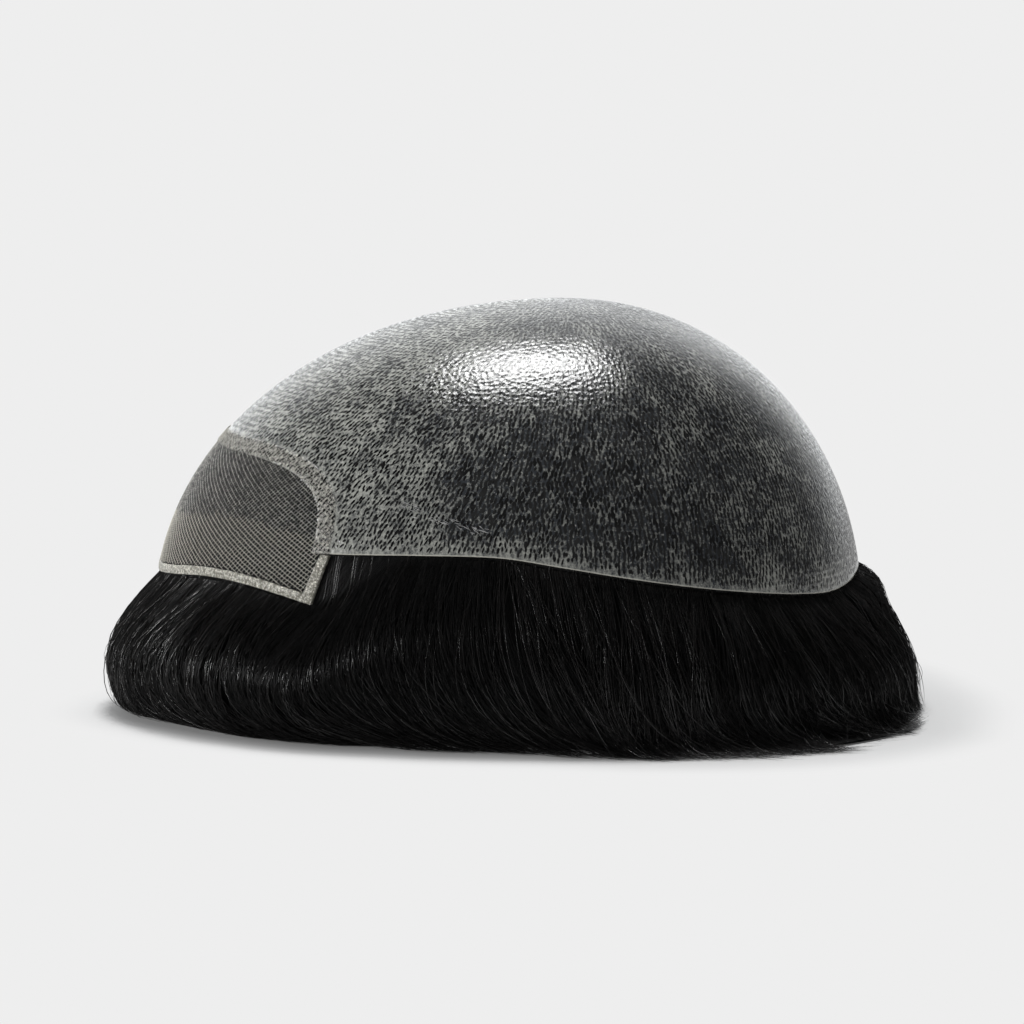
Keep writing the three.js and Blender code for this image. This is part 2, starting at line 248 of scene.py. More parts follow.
def seam_size(inset):
    """Half turn and rise of the seam's arch, inset from its outer edge."""
    foot = skin_rim(LACE_HALF_TURN)
    half = LACE_HALF_TURN - turn_step(inset, LACE_HALF_TURN, foot)
    rise = SEAM_RISE - drop_step(inset, 0, foot - SEAM_RISE)
    return half, rise


def seam_address(inset, angle):
    """The turn and drop of the arch of the seam, at an angle from 0 (one foot) to pi."""
    half, rise = seam_size(inset)
    across, up = np.cos(angle), np.sin(angle)
    square = np.abs(across) ** SEAM_SQUARENESS + np.abs(up) ** SEAM_SQUARENESS
    reach = square ** (-1 / SEAM_SQUARENESS)
    return -half * reach * across, skin_rim(LACE_HALF_TURN) - rise * reach * up


def edge_address(inset, share):
    """The turn and drop of the free edge of the lace, at a share of the way to the corner."""
    corner = front_edge(CORNER_TURN)
    turn = share * (CORNER_TURN - turn_step(inset, CORNER_TURN, corner))
    return turn, front_edge(turn) - drop_step(inset, turn, front_edge(turn))


def hair_edge(turn):
    """The drop at which the hair comes out from under the rim."""
    side = np.abs(turn)
    rise = smoothstep(side, CORNER_TURN, CORNER_TURN + CORNER_BLEND)
    front = front_edge(np.minimum(side, CORNER_TURN))
    return lerp(front, skin_rim(side), rise) + RIM_CLEARANCE


def outwards(points):
    level = points.copy()
    level[..., 2] = 0
    return unit(level)


def roll_point(turn, down, depth, sink=0.0):
    """The outside of the roll of hair, or a depth under it, a share of the way to the table."""
    turn, down, depth = np.broadcast_arrays(np.asarray(turn, float), down, depth)
    start = head_point(turn, hair_edge(turn), -BASE_UNDERSIDE - sink)
    widest = read_table(ROLL, WIDEST, turn)
    swell = ROLL_REACH * read_table(ROLL, SWELL, turn) - depth
    foot = ROLL_REACH * read_table(ROLL, FOOT, turn) - depth
    rising = swell * np.sin(np.pi / 2 * np.minimum(down / widest, 1))
    past = np.clip((down - widest) / (1 - widest), 0, 1)
    reach = np.where(down < widest, rising, lerp(foot, swell, np.sqrt(1 - past**2)))
    point = start.copy()
    point[..., 2] *= 1 - down
    return point + outwards(start) * reach[..., None]


# The head's middle in the frame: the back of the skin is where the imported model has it
head_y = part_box("skin_base")[1].y - head_point(180, skin_rim(180))[1]


def smooth_mesh(name, points, faces, material, values=None):
    """A smooth mesh from points and arrays of faces, with named values for each point."""
    mesh = bpy.data.meshes.new(name)
    mesh.vertices.add(len(points))
    mesh.vertices.foreach_set("co", (points + (0, head_y, 0)).astype(np.float32).ravel())
    corners = np.concatenate([group.ravel() for group in faces])
    sizes = np.concatenate([np.full(len(group), group.shape[1]) for group in faces])
    mesh.loops.add(len(corners))
    mesh.loops.foreach_set("vertex_index", corners.astype(np.int32))
    mesh.polygons.add(len(sizes))
    mesh.polygons.foreach_set("loop_start", np.concatenate(([0], np.cumsum(sizes)[:-1])))
    mesh.polygons.foreach_set("use_smooth", np.ones(len(sizes), bool))
    for key, value in (values or {}).items():
        attribute = mesh.attributes.new(key, "FLOAT", "POINT")
        attribute.data.foreach_set("value", np.asarray(value, np.float32))
    mesh.update(calc_edges=True)
    mesh.validate()
    mesh.materials.append(material)
    result = bpy.data.objects.new(name, mesh)
    bpy.context.scene.collection.objects.link(result)
    return result


def mesh_piece(name, points, faces, material, replaced, values=None):
    """A smooth mesh that stands for a piece of the part."""
    piece = smooth_mesh(name, points, faces, material, values)
    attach(piece, "root")
    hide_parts(replaced)


def grid_faces(rows, columns, first=0, wrap_rows=False, wrap_columns=False):
    """Quads between the points of a grid that is listed row by row."""
    r = np.arange(rows if wrap_rows else rows - 1)[:, None]
    c = np.arange(columns if wrap_columns else columns - 1)[None, :]
    below, beside = (r + 1) % rows, (c + 1) % columns
    corners = (r * columns + c, below * columns + c, below * columns + beside, r * columns + beside)
    quads = np.stack([np.broadcast_to(corner, (r.size, c.size)) for corner in corners], -1)
    return first + quads.reshape(-1, 4)


def pole_fans(rows, columns):
    """Triangles from two poles, the first two points, to the first and last row of the grid."""
    c = np.arange(columns)
    beside = (c + 1) % columns
    last = 2 + (rows - 1) * columns
    above = np.stack((np.zeros_like(c), 2 + c, 2 + beside), -1)
    below = np.stack((np.ones_like(c), last + beside, last + c), -1)
    return np.concatenate((above, below))


def tubes(paths, radii, sides, kept=None):
    """Points and quads of thin tubes along paths (tube, step, 3), with a radius at each step."""
    count, steps = paths.shape[:2]
    along = unit(np.gradient(paths, axis=1))
    across = unit(np.cross(along, outwards(paths)))
    out = np.cross(across, along)
    angles = 2 * np.pi * np.arange(sides) / sides + np.pi / 2
    ring = np.cos(angles)[:, None] * across[:, :, None] + np.sin(angles)[:, None] * out[:, :, None]
    points = paths[:, :, None] + radii[:, :, None, None] * ring
    tube, step, side = np.meshgrid(*map(np.arange, (count, steps - 1, sides)), indexing="ij")
    if kept is not None:
        tube, step, side = tube[kept], step[kept], side[kept]
    at = (tube * steps + step) * sides
    turned = (side + 1) % sides
    quads = np.stack((at + side, at + turned, at + sides + turned, at + sides + side), -1)
    return points.reshape(-1, 3), quads.reshape(-1, 4)


def drop_unused(points, faces, values):
    """Points that no face uses are left out, and the faces and values follow."""
    used = np.zeros(len(points), bool)
    used[faces.ravel()] = True
    renumber = np.cumsum(used) - 1
    return points[used], renumber[faces], {key: value[used] for key, value in values.items()}


class Nodes:
    """Short calls for building nodes."""

    def __init__(self, tree):
        self.tree = tree

    def add(self, kind, inputs=None, **settings):
        node = self.tree.nodes.new("ShaderNode" + kind)
        for key, value in settings.items():
            setattr(node, key, value)
        for key, value in (inputs or {}).items():
            self.set(node.inputs[key], value)
        return node

    def set(self, socket, value):
        if isinstance(value, bpy.types.NodeSocket):
            self.tree.links.new(value, socket)
        else:
            socket.default_value = value

    def place(self, scale=(1, 1, 1)):
        """The place on the part, stretched."""
        coordinates = self.add("TexCoord").outputs["Object"]
        return self.add("Mapping", {"Vector": coordinates, "Scale": scale}).outputs[0]

    def noise(self, where, scale, detail=3.0, roughness=0.5):
        inputs = {"Vector": where, "Scale": scale, "Detail": detail, "Roughness": roughness}
        return self.add("TexNoise", inputs).outputs["Fac"]

    def ramp(self, value, low, high, start=0.0, end=1.0):
        inputs = {"Value": value, "From Min": low, "From Max": high, "To Min": start, "To Max": end}
        return self.add("MapRange", inputs, interpolation_type="SMOOTHSTEP").outputs[0]

    def math(self, operation, a, b):
        return self.add("Math", {0: a, 1: b}, operation=operation).outputs[0]

    def mix(self, factor, a, b):
        node = self.add("Mix", data_type="RGBA")
        for socket, value in zip([node.inputs[i] for i in (0, 6, 7)], (factor, a, b)):
            self.set(socket, value)
        return node.outputs[2]

    def attribute(self, name):
        return self.add("Attribute", attribute_name=name).outputs["Fac"]

    def bump(self, height, distance, strength=1.0, normal=None):
        inputs = {"Height": height, "Distance": distance, "Strength": strength}
        if normal is not None:
            inputs["Normal"] = normal
        return self.add("Bump", inputs).outputs[0]

    def dot(self, direction, other):
        return self.add("VectorMath", {0: direction, 1: other}, operation="DOT_PRODUCT").outputs[1]


class Material(Nodes):
    def __init__(self, name):
        self.material = bpy.data.materials.new(name)
        self.material.use_nodes = True
        super().__init__(self.material.node_tree)
        self.shader = self.tree.nodes["Principled BSDF"]

    def finish(self, **inputs):
        for key, value in inputs.items():
            self.set(self.shader.inputs[key.replace("_", " ")], value)
        return self.material


def grey(level, tint=0.0):
    """A grey, cooler with a higher tint and warmer with a lower one."""
    return (level * (1 - tint), level, level * (1 + tint), 1)


def skin_material():
    m = Material("clear_skin")
    place = m.place()
    patches = m.noise(m.place((1, 1, 1.6)), 150, 4, 0.65)
    hairs = m.noise(m.place((1, 1, 0.45)), 1100, 3, 0.6)
    thick = m.ramp(m.attribute("thick"), 0, 1, 0.32, 1)
    dark = m.math("ADD", thick, m.ramp(patches, 0.35, 0.65, -0.15, 0.15))
    dark = m.math("ADD", dark, m.ramp(hairs, 0.35, 0.65, -0.26, 0.26))
    grain = m.noise(place, 2300, 2, 0.6)
    dark = m.math("ADD", dark, m.ramp(grain, 0.35, 0.65, -0.22, 0.22))
    film = m.mix(dark, (0.37, 0.375, 0.343, 1), (0.033, 0.036, 0.041, 1))
    # Painted glints: sparse pale flecks in the film's colour stand in for light sparkling off its
    # pebbled face.
    painted_glint = m.ramp(m.noise(place, 1500, 1), 0.66, 0.74, 0, 0.6)
    glinted_film = m.mix(painted_glint, film, (0.5, 0.5, 0.47, 1))
    # Painted highlight: the film's cut edge and a thin strip along it are coloured pale beige.
    colour = m.mix(m.attribute("rim"), glinted_film, (0.5, 0.49, 0.43, 1))
    rough = m.ramp(m.noise(place, 500, 3), 0.3, 0.7, 0.14, 0.24)
    normal = embossed(m)
    return m.finish(Base_Color=colour, Normal=normal, Roughness=rough, Specular_IOR_Level=0.5)


def embossed(m):
    """The fine pebbled face of the skin, the same over a root as beside it."""
    place = m.place()
    pebbles = m.add("TexVoronoi", {"Vector": place, "Scale": 780, "Randomness": 0.8})
    coarse = m.bump(pebbles.outputs["Distance"], 0.00015, 0.7)
    return m.bump(m.noise(place, 2000, 2, 0.55), 0.00006, 0.5, coarse)


def root_material():
    m = Material("hair_roots")
    tone = m.ramp(m.noise(m.place(), 300, 3), 0.35, 0.65)
    colour = m.mix(tone, grey(0.006), grey(0.022))
    normal = embossed(m)
    return m.finish(Base_Color=colour, Normal=normal, Roughness=0.18, Specular_IOR_Level=0.45)


def net_material():
    m = Material("net_thread")
    near_hair = m.attribute("hairy")
    speckle = m.noise(m.place(), 900, 3, 0.7)
    bare = m.mix(speckle, (0.36, 0.34, 0.295, 1), (0.8, 0.77, 0.68, 1))
    tied = m.mix(m.ramp(speckle, 0.35, 0.65), (0.1, 0.1, 0.097, 1), (0.55, 0.54, 0.5, 1))
    colour = m.mix(near_hair, bare, tied)
    twist = m.add("TexWave", {"Vector": m.place(), "Scale": 900, "Distortion": 3})
    normal = m.bump(twist.outputs["Fac"], 0.00004, 0.5)
    return m.finish(Base_Color=colour, Normal=normal, Roughness=0.5, Specular_IOR_Level=0.4)


def seam_material():
    m = Material("net_in_skin")
    place = m.place()
    tone = m.noise(place, 1500, 4, 0.7)
    colour = m.mix(m.ramp(tone, 0.4, 0.6), grey(0.03), (0.6, 0.595, 0.54, 1))
    normal = m.bump(m.noise(place, 1100, 3), 0.0004, 0.7)
    return m.finish(Base_Color=colour, Normal=normal, Roughness=0.3, Specular_IOR_Level=0.5)


def binding_material():
    m = Material("crackled_tape")
    place = m.place()
    cells = m.add("TexVoronoi", {"Vector": place, "Scale": 2000}, feature="DISTANCE_TO_EDGE")
    crack = m.ramp(cells.outputs["Distance"], 0.0, 0.14)
    mottle = m.ramp(m.noise(place, 1500, 3), 0.35, 0.65)
    pale = m.mix(mottle, (0.24, 0.23, 0.185, 1), (0.9, 0.88, 0.79, 1))
    colour = m.mix(crack, (0.17, 0.16, 0.13, 1), pale)
    normal = m.bump(crack, 0.0002, 0.9)
    return m.finish(Base_Color=colour, Normal=normal, Roughness=0.42, Specular_IOR_Level=0.5)


def strand_material():
    m = Material("black_hair")
    tone = m.attribute("tone")
    colour = m.mix(tone, grey(0.006, 0.03), (0.018, 0.0163, 0.0157, 1))
    scales = m.noise(m.place(), 2500, 2)
    normal = m.bump(scales, 0.00003, 0.3)
    rough = m.ramp(tone, 0, 1, 0.34, 0.2)
    gloss = m.ramp(tone, 0.45, 1, 0.12, 0.9)
    return m.finish(Base_Color=colour, Normal=normal, Roughness=rough, Specular_IOR_Level=gloss)


def mass_material():
    m = Material("hair_mass")
    combed = m.add("CombineXYZ", {0: m.attribute("across"), 1: m.attribute("along")}).outputs[0]
    fine = m.add("Mapping", {"Vector": combed, "Scale": (2600, 45, 1)}).outputs[0]
    locks = m.add("Mapping", {"Vector": combed, "Scale": (260, 14, 1)}).outputs[0]
    hairs = m.noise(fine, 1, 3, 0.6)
    clumps = m.noise(locks, 1, 3, 0.6)
    colour = m.mix(hairs, grey(0.0015), grey(0.008))
    broad = m.bump(clumps, 0.002, 0.6)
    normal = m.bump(hairs, 0.0005, 0.7, broad)
    return m.finish(Base_Color=colour, Normal=normal, Roughness=0.5, Specular_IOR_Level=0.2)


def wavy(points, size, seed):
    """Smooth random values from -1 to 1 or so, with bumps of about that size."""
    waves = 14
    own_rng = np.random.default_rng(seed)
    directions = unit(own_rng.normal(size=(waves, 3))) * own_rng.uniform(0.6, 1.6, (waves, 1))
    phases = own_rng.uniform(0, 2 * np.pi, waves)
    return np.sin(points @ directions.T * (np.pi / size) + phases).sum(-1) / np.sqrt(waves)


def thickness(turn, drop):
    """How dark the skin is made, from about 0 to 1: how thick the hair lies under it, and less in a
    band just inside the rim.
    """
    side = np.abs((turn + 180) % 360 - 180)
    points = head_point(side, drop)
    thick = 0.2 + 0.42 * smoothstep(side, 38, 78) - 0.08 * smoothstep(side, 115, 140)
    # Less in a band just inside the rim, so the skin is lighter there.
    thick = thick - 0.3 * smoothstep(drop / skin_rim(side), 0.86, 1.0)
    for patch_turn, patch_drop, radius, strength in PATCHES:
        away = np.linalg.norm(points - head_point(patch_turn, patch_drop), axis=-1)
        thick = thick + 0.6 * strength * np.exp(-((away / radius) ** 2))
    own = head_point(turn, drop)
    thick = thick + 0.08 * wavy(own, 0.02, 11)
    return thick + 0.12 * wavy(own, 0.007, 12) + 0.08 * wavy(own, 0.003, 13)


def arch_columns(inset, count):
    angle = np.linspace(0, np.pi, count)
    return seam_address(inset, angle)


def skin_shell(material):
    """The dome with its cut rim and its underside, as one closed shell."""
    turns, ends = arch_columns(0.0001, ARCH_COLUMNS)
    start = turns[-1]
    around = np.linspace(start, 360 - start, 242)[1:-1]
    turns = np.concatenate((turns, around))
    ends = np.concatenate((ends, skin_rim(np.where(around > 180, 360 - around, around))))
    level = skin_rim(LACE_HALF_TURN) - SEAM_RISE - 0.003
    top = np.arccos(1 - level / HEAD_RISE) * np.arange(1, 33)[:, None] / 32
    line = ends - drop_step(RIM_LINE, turns, ends)
    low = np.arccos(1 - line / HEAD_RISE)
    sweeps = np.concatenate((top + 0 * low, lerp(top[-1], low, np.arange(1, 37)[:, None] / 36)))
    drops = np.concatenate((HEAD_RISE * (1 - np.cos(sweeps)), ends[None]))
    rows = len(drops)
    outer = head_point(turns, drops)
    inner = head_point(turns, drops[::-2], -SKIN_FILM)
    skirt = np.concatenate((outer, inner))
    poles = np.stack((head_point(0, 0), head_point(0, 0, -SKIN_FILM)))
    points = np.concatenate((poles, skirt.reshape(-1, 3)))
    columns = len(turns)
    quads = grid_faces(len(skirt), columns, 2, wrap_columns=True)
    fans = pole_fans(len(skirt), columns)
    # Mark the cut edge and the strip along it, which get a painted highlight: a pale line.
    rim = np.zeros(skirt.shape[:2])
    rim[rows - 1 : rows + 1, ARCH_COLUMNS:] = 1
    thick = thickness(turns, np.concatenate((drops, drops[::-2])))
    at_crown = thickness(0, 0)
    values = {
        "rim": np.concatenate(((0, 0), rim.ravel())),
        "thick": np.concatenate(((at_crown, at_crown), thick.ravel())),
    }
    mesh_piece("skin", points, [quads, fans], material, "skin_base", values)


def under_skin(turn, drop, margin):
    """True where a place lies on the skin, clear of the seam and a margin inside its rim."""
    side = np.abs((turn + 180) % 360 - 180)
    half, rise = seam_size(-FIT_GAP - 0.0002)
    foot = skin_rim(LACE_HALF_TURN)
    up = np.clip(foot - drop, 0, None) / rise
    in_arch = (side / half) ** SEAM_SQUARENESS + up**SEAM_SQUARENESS < 1
    in_arch |= (drop >= foot) & (side < half)
    return ~in_arch & (drop < skin_rim(side) - margin)


def on_seam(turn, drop):
    """True where a place lies on the seam, clear of its edges."""
    side = np.abs((turn + 180) % 360 - 180)
    return on_lace(side, drop, 0.0002) & ~on_lace(side, drop, SEAM_WIDTH - 0.0003)


def ring_of_roots(sweep, row):
    """Turns of the roots in one ring round the head, evenly spaced, every other ring between."""
    drop = HEAD_RISE * (1 - np.cos(sweep))
    turns = np.linspace(-180, 180, 721)
    points = head_point(turns, drop)
    arc = np.append(0, np.cumsum(np.linalg.norm(np.diff(points, axis=0), axis=1)))
    count = max(int(arc[-1] / ROOT_SPACING[0]), 3)
    places = (np.arange(count) + 0.5 * (row % 2)) / count
    places = places + rng.normal(0, 0.16, count) / count
    return np.interp((places % 1) * arc[-1], arc, turns)


def slivers(turn, drop, width, length, height, lift, twist):
    """Points and triangles of small tapered ridges that lie down the head."""
    middle = head_point(turn, drop, lift)
    normal = head_normal(turn, drop)
    down = unit(head_point(turn, drop + 0.0002) - head_point(turn, drop - 0.0002))
    across = np.cross(normal, down)
    swing = np.radians(twist)[:, None]
    down, across = (
        down * np.cos(swing) + across * np.sin(swing),
        across * np.cos(swing) - down * np.sin(swing),
    )
    outline = [(0, -0.5), (0.45, -0.22), (0.4, 0.2), (0, 0.5), (-0.4, 0.2), (-0.45, -0.22)]
    shape = [(*corner, 0) for corner in outline] + [(0, 0, 1)]
    across = across * width[:, None]
    down = down * length[:, None]
    normal = normal * height[:, None]
    points = np.stack([middle + across * s + down * t + normal * h for s, t, h in shape], 1)
    first = 7 * np.arange(len(turn))[:, None]
    around = [(i, (i + 1) % 6) for i in range(6)]
    triangles = [np.concatenate((first + a, first + b, first + 6), 1) for a, b in around]
    return points.reshape(-1, 3), np.concatenate(triangles)


def hair_roots(material):
    """Black roots all over the skin, in staggered rings."""
    sweeps = np.arange(0.02, 1.45, ROOT_SPACING[1] / HEAD_RISE)
    turn, drop = [], []
    for row, sweep in enumerate(sweeps):
        turns = ring_of_roots(sweep, row)
        turn.append(turns)
        nudged = sweep + rng.normal(0, 0.17, len(turns)) * ROOT_SPACING[1] / HEAD_RISE
        drop.append(HEAD_RISE * (1 - np.cos(nudged)))
    turn, drop = np.concatenate(turn), np.concatenate(drop)
    kept = under_skin(turn, drop, 0.0012) | on_seam(turn, drop)
    turn, drop = turn[kept], drop[kept]
    count = len(turn)
    full = 0.8 + 0.35 * np.clip(thickness(turn, drop), 0, 1)
    width = ROOT_SIZE[0] * rng.uniform(0.7, 1.2, count) * full
    length = ROOT_SIZE[1] * rng.uniform(0.6, 1.25, count) * full
    height = np.full(count, ROOT_SIZE[2])
    lift = np.where(on_seam(turn, drop), 0.7 * BAND_PROUD, 0) + ROOT_LIFT
    forwards = ROOT_SWING * (1 - smoothstep(np.abs(turn), 35, 105))
    twist = rng.normal(0, 9, count) - np.sign(turn) * forwards
    points, faces = slivers(turn, drop, width, length, height, lift, twist)
    mesh_piece("hair_roots", points, [faces], material, "skin_base")


def seam_beads(material):
    """Drops of the skin's resin in the net's holes, along the inner edge of the seam, coloured near
    white partly as painted glints.
    """
    angle = np.concatenate([rng.uniform(*ends, BEADS // 2) for ends in ((0.15, 1), (2.14, 2.99))])
    turn, drop = seam_address(SEAM_WIDTH - 0.0003, angle)
    drop = drop + rng.normal(0, 0.0002, BEADS)
    turn = turn + rng.normal(0, 0.15, BEADS)
    width, length = rng.uniform(0.0004, 0.0008, (2, BEADS))
    height = rng.uniform(0.0001, 0.0002, BEADS)
    points, faces = slivers(turn, drop, width, length, height, 0.0001, rng.uniform(0, 90, BEADS))
    mesh_piece("seam_beads", points, [faces], material, "lace_seam")


def crease_glints(material):
    """Fine raised creases across the skin near the lace, in two short strokes, coloured pale as a
    painted highlight.
    """
    at = rng.random(CREASE_GLINTS)
    long = np.arange(CREASE_GLINTS) % 4 > 0
    turn = np.where(long, 54 + 11 * at, 50 + 2.5 * at) + rng.normal(0, 0.5, CREASE_GLINTS)
    drop = np.where(long, 0.0475 + 0.0032 * at, 0.0446 + 0.001 * at)
    drop = drop + rng.normal(0, 0.0006, CREASE_GLINTS)
    width = rng.uniform(0.00007, 0.00016, CREASE_GLINTS)
    length = rng.uniform(0.0008, 0.0026, CREASE_GLINTS)
    height = np.full(CREASE_GLINTS, 0.00004)
    points, faces = slivers(turn, drop, width, length, height, 0.00006, rng.normal(68, 12, CREASE_GLINTS))
    mesh_piece("crease_glints", points, [faces], material, "skin_base")


def resin_material(name, tone, rough):
    """Pale mottled resin of a tone; on the creases and the beads the paleness is partly a painted
    highlight.
    """
    m = Material(name)
    mottle = m.ramp(m.noise(m.place(), 800, 2), 0.35, 0.65)
    colour = m.mix(mottle, grey(0.65 * tone), grey(tone))
    return m.finish(Base_Color=colour, Roughness=rough, Specular_IOR_Level=0.6)


def band_section(proud, wall):
    """The section of a band as pairs of share of its width and lift."""
    return [
        (0, -wall), (0, 0), (0.05, 0.15 * proud), (0.15, 0.45 * proud), (0.4, 0.65 * proud),
        (0.6, 0.65 * proud), (0.85, 0.6 * proud), (0.96, 0.5 * proud), (1, 0.1 * proud), (1, -wall),
    ]


def band(name, path, width, material, replaced):
    """A closed band on the head, along a path that is given by inset."""
    section = band_section(BAND_PROUD, BAND_WALL - BAND_PROUD)
    rows = np.stack([head_point(*path(share * width), lift) for share, lift in section])
    quads = grid_faces(len(section), rows.shape[1], wrap_rows=True)[:, ::-1]
    columns = rows.shape[1]
    starts = np.arange(len(section)) * columns
    ends = np.stack((starts, starts[::-1] + columns - 1))
    mesh_piece(name, rows.reshape(-1, 3), [quads, ends], material, replaced)


def seam_path(inset):
    return arch_columns(inset, 161)


def binding_path(inset):
    """Down one side of the lace, along its free edge and up the other side."""
    top = skin_rim(LACE_HALF_TURN) + FIT_GAP
    leg_turn = LACE_HALF_TURN - turn_step(inset, LACE_HALF_TURN, top)
    turn, drop = edge_address(inset, np.linspace(-1, 1, 161))
    climb = np.linspace(0, 1, 13)[1:]
    leg = (lerp(turn[-1], leg_turn, climb), lerp(drop[-1], top, climb))
    turn = np.concatenate((-leg[0][::-1], turn, leg[0]))
    drop = np.concatenate((leg[1][::-1], drop, leg[1]))
    return turn, drop


def on_lace(turn, drop, margin):
    """True where a place lies on the net, which runs on under the seam and the binding."""
    side = np.abs(turn)
    half, rise = seam_size(margin)
    foot = skin_rim(LACE_HALF_TURN)
    up = np.clip(foot - drop, 0, None) / rise
    above = (side / half) ** SEAM_SQUARENESS + up**SEAM_SQUARENESS < 1
    corner = front_edge(CORNER_TURN)
    leg = lerp(LACE_HALF_TURN, CORNER_TURN, np.clip((drop - foot) / (corner - foot), 0, 1))
    inner = turn_step(TAPE_SHOWN, LACE_HALF_TURN, foot)
    beside = np.where(drop > foot, side < leg - inner, above)
    edge = front_edge(np.minimum(side, CORNER_TURN))
    return beside & (drop < edge - drop_step(TAPE_SHOWN, side, edge))


def lace_net(material):
    """Two sets of crossing threads, over the lace and on across the seam."""
    net_scale = 0.088  # metres of net for a radian of sweep down from the crown
    net_radius = 0.094  # and for a radian of turn
    groups, faces, hairy = [], [], []
    first = 0
    for slant, pitch, radius, shade in zip(NET_SLANTS, NET_PITCHES, NET_THREADS, NET_SHADES):
        direction = np.array((np.cos(np.radians(slant)), np.sin(np.radians(slant))))
        offset = np.array((-direction[1], direction[0]))
        reach = 0.085
        lines = np.arange(-reach, reach, pitch)
        steps = np.arange(-reach, reach, pitch)
        centre = np.array((0, net_scale * 1.13))
        flat = centre + lines[:, None, None] * offset + steps[None, :, None] * direction
        flat = flat + rng.normal(0, 0.05 * pitch, flat.shape)
        turn = np.degrees(flat[..., 0] / net_radius)
        drop = HEAD_RISE * (1 - np.cos(np.clip(flat[..., 1] / net_scale, 0.05, 1.5)))
        side = np.clip(np.abs(turn), 0, 60)
        inside = on_lace(side, drop, 0.0002)
        in_seam = inside & ~on_lace(side, drop, SEAM_WIDTH)
        lift = np.where(in_seam, BAND_PROUD + 0.00004, 0.00002)
        paths = head_point(np.clip(turn, -60, 60), drop, lift)
        kept = inside[:, 1:] & inside[:, :-1]
        points, quads = tubes(paths, np.full(paths.shape[:2], radius), 4, kept)
        edge = front_edge(np.minimum(side, CORNER_TURN))
        rise = (edge - drop) / drop_step(1.0, side, edge)
        rough_line = HAIRLINE + rng.normal(0, 0.0004, rise.shape)
        above = smoothstep(rise, rough_line - 0.0003, rough_line + 0.0003)
        above = np.where(in_seam, 0.6, np.maximum(above, shade))
        above = np.where(np.abs(rise - rough_line) < 0.0004, 0, above)
        groups.append(points)
        faces.append(quads + first)
        hairy.append(np.repeat(above.ravel(), 4))
        first += len(points)
    values = {"hairy": np.concatenate(hairy)}
    points, quads, values = drop_unused(np.concatenate(groups), np.concatenate(faces), values)
    mesh_piece("lace_net", points, [quads], material, "lace_front", values)


def hair_mass(material):
    """The hair under the strands: against the base, in the roll, on the table and inside."""
    columns = 240
    turn = np.linspace(-180, 180, columns + 1)[1:]
    edge = hair_edge(turn)
    outside = -BASE_UNDERSIDE - 0.0002
    inside = outside - HAIR_LAYER + 0.0003
    sweep = np.arccos(1 - edge / HEAD_RISE)
    share = np.arange(1, 25)[:, None] / 24
    drops = HEAD_RISE * (1 - np.cos(sweep * share))
    drops = np.minimum(drops, edge - 0.0005)
    roll = np.sin(np.pi / 2 * np.arange(0, 17)[:, None] / 16)
    brow = head_point(turn, edge, inside)
    heel = head_point(turn, edge, outside)
    heel[..., 2] = OFF_TABLE
    heel = heel - outwards(heel) * HEEL_INSET
    up = np.linspace(0, 1, 13)[:-1, None, None]
    rolled = roll_point(turn, roll, 0.6 * LOCK_THICKNESS, sink=0.0015)
    rolled[..., 2] = np.maximum(rolled[..., 2], OFF_TABLE)
    lift = np.where(on_lace(turn, drops, 0.002), -0.0004, outside)
    rows = np.concatenate(
        (
            head_point(turn, drops, lift),
            rolled,
            lerp(heel[None], brow[None], up),
            head_point(turn, drops[::-1], inside),
        )
    )
    lengths = np.linalg.norm(np.diff(rows, axis=0, prepend=rows[:1]), axis=-1)
    along = np.cumsum(lengths, axis=0)
    across = np.broadcast_to(np.radians(turn) * HEAD_HALF_WIDTH, along.shape)
    poles = np.stack((head_point(0, 0, outside), head_point(0, 0, inside)))
    points = np.concatenate((poles, rows.reshape(-1, 3)))
    quads = grid_faces(len(rows), columns, 2, wrap_columns=True)
    fans = pole_fans(len(rows), columns)
    values = {
        "along": np.concatenate(((0, 0), along.ravel())),
        "across": np.concatenate(((0, 0), across.ravel())),
    }
    mesh_piece("hair_mass", points, [quads, fans], material, "hair", values)


